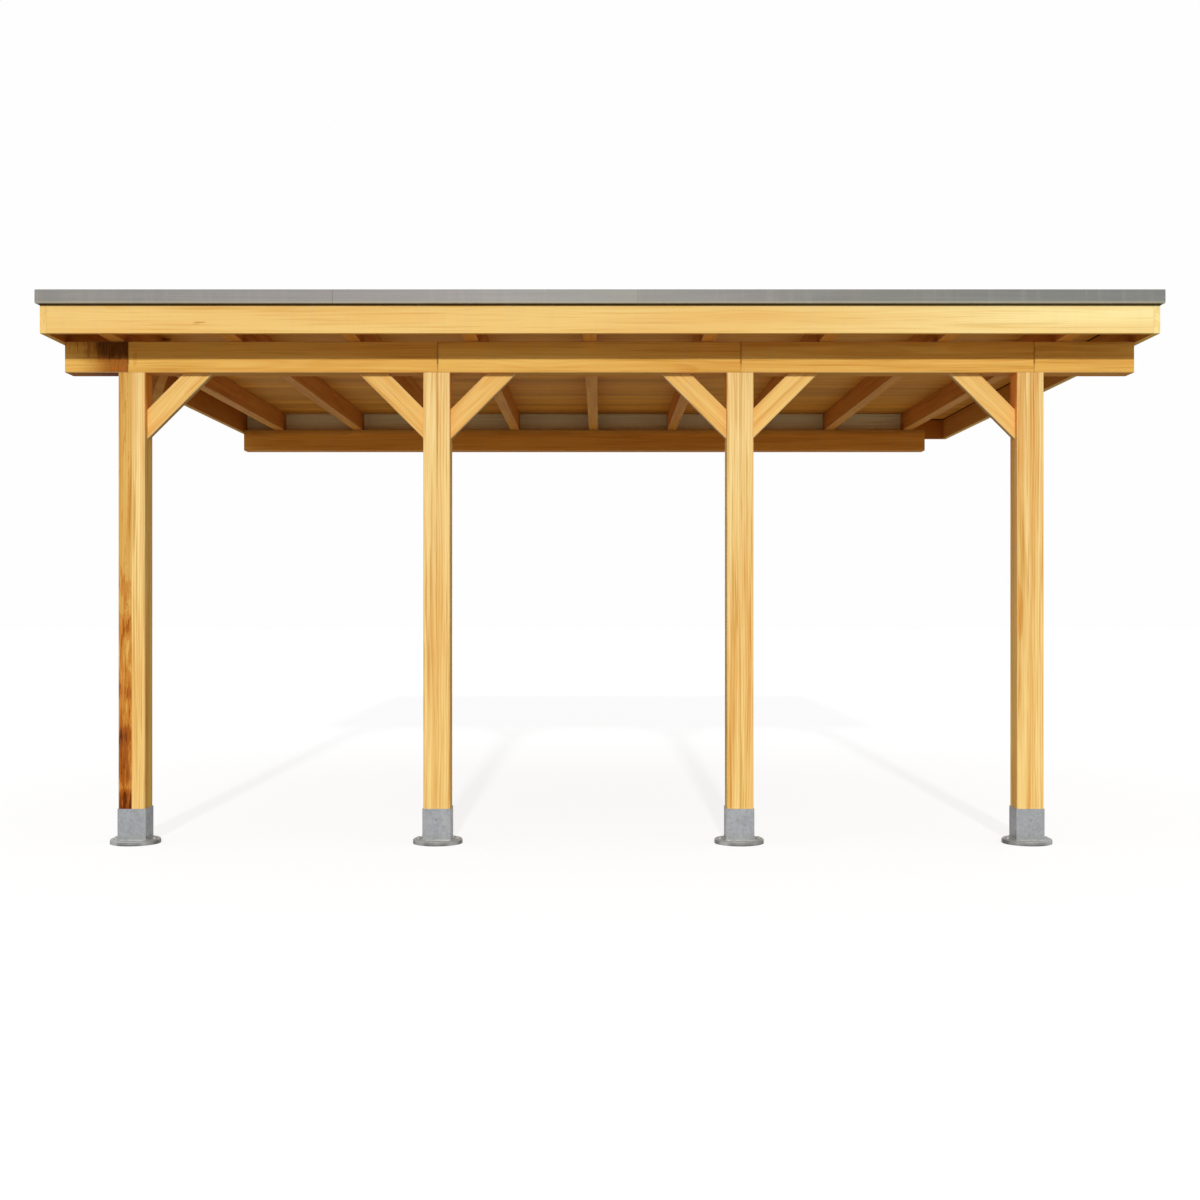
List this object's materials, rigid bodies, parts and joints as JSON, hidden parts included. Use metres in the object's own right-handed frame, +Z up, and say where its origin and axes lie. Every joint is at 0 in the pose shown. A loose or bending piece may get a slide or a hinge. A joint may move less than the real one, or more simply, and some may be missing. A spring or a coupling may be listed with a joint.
{
  "type": "lean-to carport",
  "caption": "Flat-roofed lean-to timber carport: a row of braced posts in steel shoes and a wall beam carry rafters and a boarded roof with metal edge trim.",
  "frame": {"origin": "on the back face of the rear beam, at mid height of the beam and mid length of the roof; the ground is 2.2 m below", "axes": "+X along the roof's length, +Y towards the wall, +Z up"},
  "size_m": [4.916, 4.222, 2.454],
  "materials": {
    "post_timber": "planed, light oil",
    "beam_timber": "planed, light oil",
    "brace_timber": "planed, light oil",
    "rafter_timber": "planed",
    "infill_timber": "rough sawn",
    "fascia_timber": "planed, light oil",
    "deck_timber": "planed boards",
    "galvanised_steel": "dull galvanised",
    "grey_trim": "satin grey coat",
    "roof_membrane": "matt dark sheet"
  },
  "bodies": {
    "root": {"brace_post_1_back": "brace_timber", "brace_post_1_right": "brace_timber", "brace_post_2_left": "brace_timber", "brace_post_2_right": "brace_timber", "brace_post_3_left": "brace_timber", "brace_post_3_right": "brace_timber", "brace_post_4_left": "brace_timber", "edge_trim_front": "grey_trim", "edge_trim_left": "grey_trim", "edge_trim_rear": "grey_trim", "edge_trim_right": "grey_trim", "front_beam_bay_1": "beam_timber", "front_beam_bay_2": "beam_timber", "front_beam_bay_3": "beam_timber", "front_beam_left_end": "beam_timber", "front_beam_right_end": "beam_timber", "front_fascia": "fascia_timber", "post_1": "post_timber", "post_2": "post_timber", "post_3": "post_timber", "post_4": "post_timber", "post_shoe_1": "galvanised_steel", "post_shoe_2": "galvanised_steel", "post_shoe_3": "galvanised_steel", "post_shoe_4": "galvanised_steel", "rafter_1": "rafter_timber", "rafter_2": "rafter_timber", "rafter_3": "rafter_timber", "rafter_4": "rafter_timber", "rafter_5": "rafter_timber", "rafter_6": "rafter_timber", "rafter_7": "rafter_timber", "rafter_8": "rafter_timber", "rafter_9": "rafter_timber", "rafter_infill_1": "infill_timber", "rafter_infill_2": "infill_timber", "rafter_infill_3": "infill_timber", "rafter_infill_4": "infill_timber", "rafter_infill_5": "infill_timber", "rafter_infill_6": "infill_timber", "rafter_infill_7": "infill_timber", "rafter_infill_8": "infill_timber", "rafter_infill_9": "infill_timber", "rear_beam": "beam_timber", "rear_fascia": "fascia_timber", "roof_deck": "deck_timber", "roof_membrane": "roof_membrane", "verge_board_left": "fascia_timber", "verge_board_right": "fascia_timber"}
  },
  "joints": []
}
